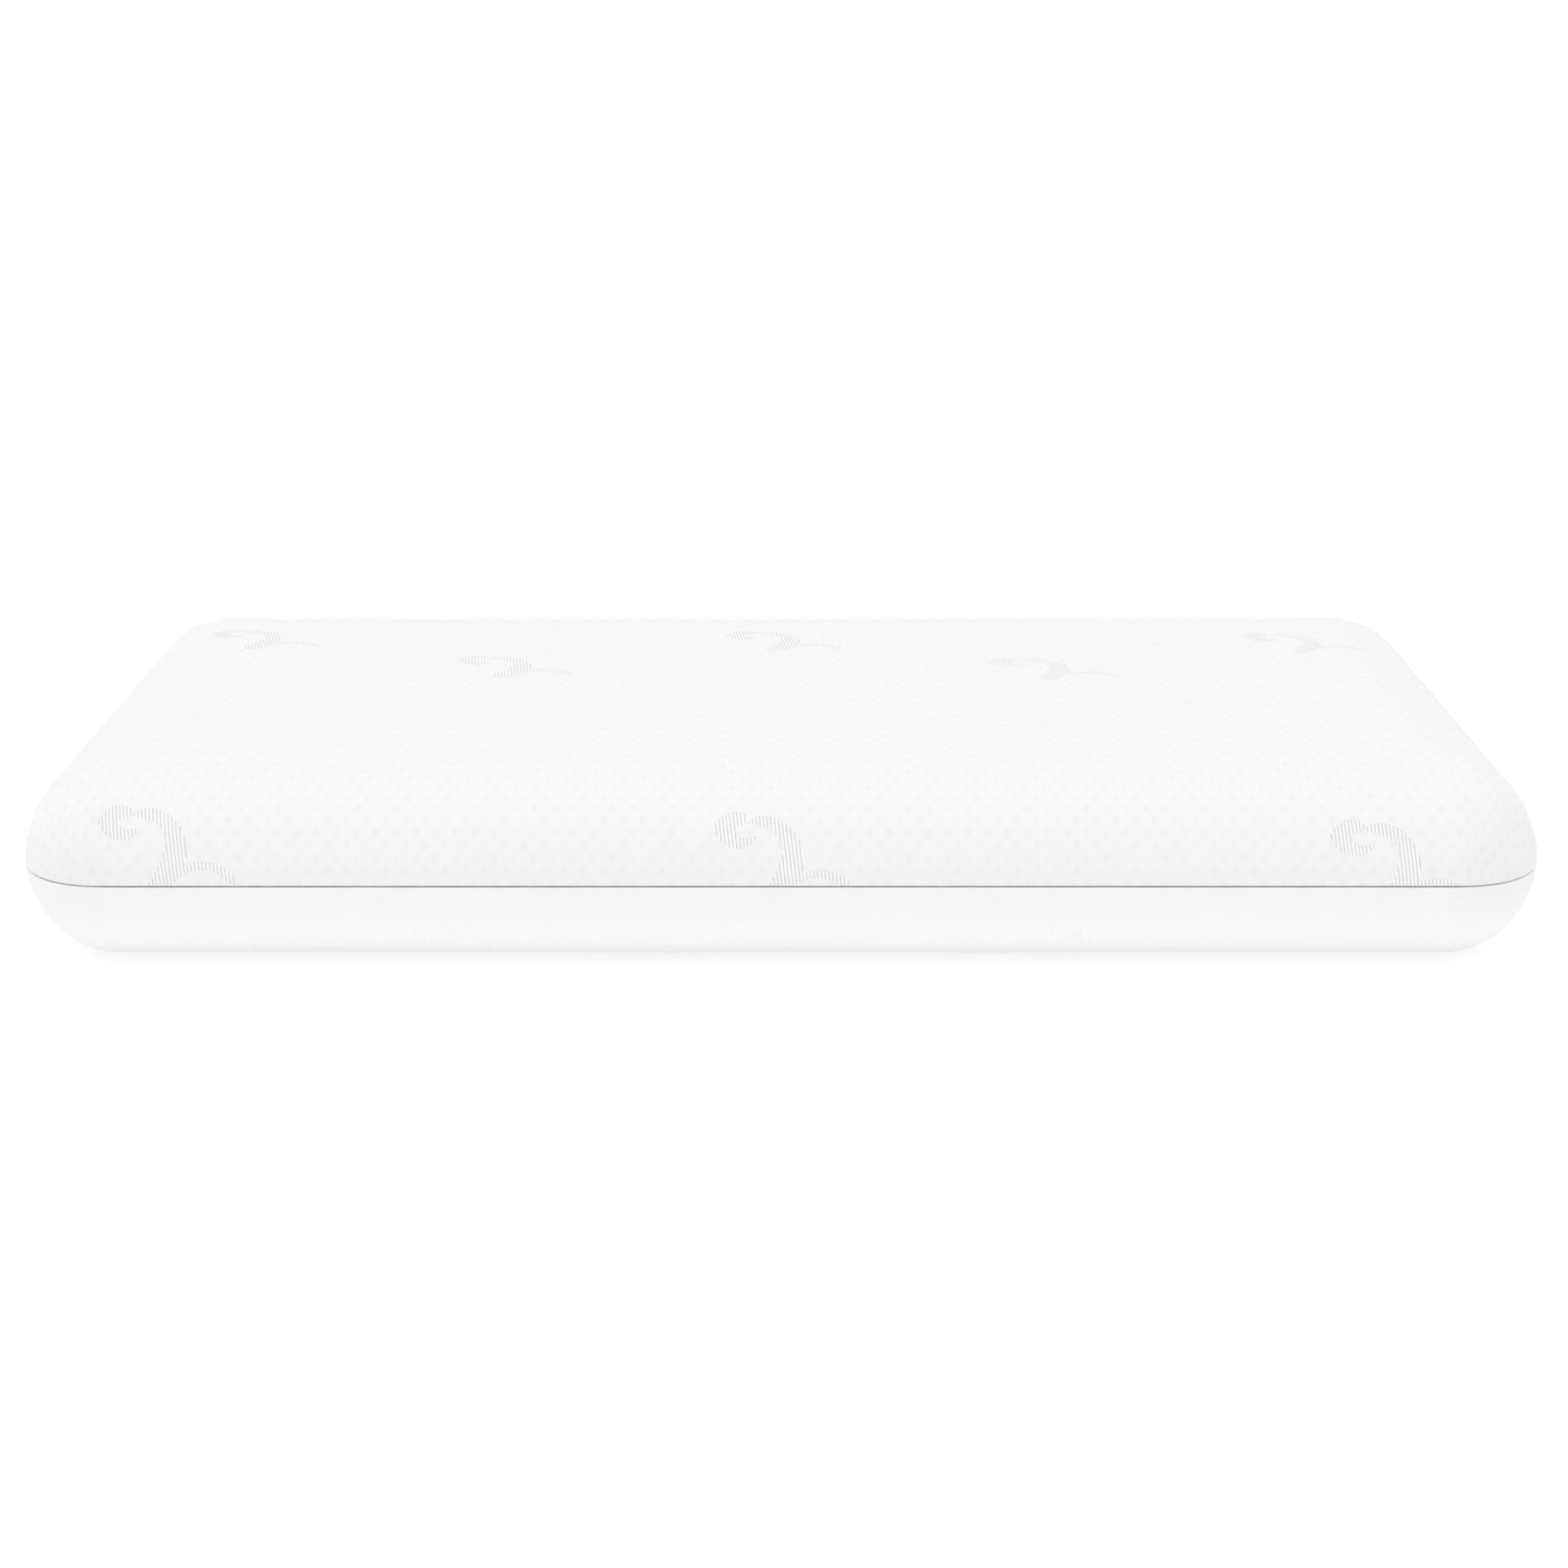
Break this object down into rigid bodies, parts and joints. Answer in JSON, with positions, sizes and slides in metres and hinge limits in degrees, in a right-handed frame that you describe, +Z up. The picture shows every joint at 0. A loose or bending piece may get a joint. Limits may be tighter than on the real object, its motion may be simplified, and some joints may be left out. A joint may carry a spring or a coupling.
{
  "type": "foam mattress",
  "caption": "Rounded single foam mattress: a glued memory foam core in an inner sleeve, inside a knitted cover in two halves joined by a zip right round the sides.",
  "frame": {"origin": "centre of the mattress's footprint, on the plane it lies on", "axes": "+X along the mattress's length, +Y across its width towards the side where the zip ends meet, +Z up through its thickness to the sleeping face"},
  "size_m": [1.9, 0.9052, 0.25],
  "materials": {
    "cover_knit": "matte",
    "sleeve_knit": "matte",
    "zip_tape": "matte",
    "zip_coil": "satin",
    "zip_metal": "satin",
    "sewing_thread": "satin",
    "label_satin": "satin",
    "memory_foam": "matte",
    "base_foam": "matte",
    "adhesive": "satin"
  },
  "bodies": {
    "lower_cover": {"base_cover": "cover_knit", "lower_zip_tape": "zip_tape", "lower_zip_coil": "zip_coil", "lower_chain_stops": "zip_metal", "lower_tape_stitching": "sewing_thread", "zip_garage": "cover_knit", "care_label": "label_satin"},
    "foam_core": {"inner_sleeve": "sleeve_knit", "sleeve_closing_seam": "sewing_thread", "base_foam_block": "base_foam", "adhesive_film": "adhesive", "memory_foam_layer": "memory_foam"},
    "upper_cover": {"top_cover": "cover_knit", "upper_zip_tape": "zip_tape", "upper_zip_coil": "zip_coil", "upper_chain_stops": "zip_metal", "upper_tape_stitching": "sewing_thread"},
    "slider": {"zip_slider": "zip_metal"},
    "pull_tab": {"zip_pull_tab": "zip_metal"}
  },
  "joints": [
    {"name": "core_lift", "type": "slide", "parent": "lower_cover", "child": "foam_core", "axis": [0, 0, 1], "range_m": [0, 0.3]},
    {"name": "cover_lift", "type": "slide", "parent": "foam_core", "child": "upper_cover", "axis": [0, 0, 1], "range_m": [0, 0.3]},
    {"name": "zip_travel", "type": "slide", "parent": "lower_cover", "child": "slider", "axis": [1, 0, 0], "range_m": [0, 1.5]},
    {"name": "pull_swing", "type": "hinge", "parent": "slider", "child": "pull_tab", "pos_m": [-0.764, 0.4528, 0.122], "axis": [0, 0, 1], "range_deg": [0, 180]}
  ]
}
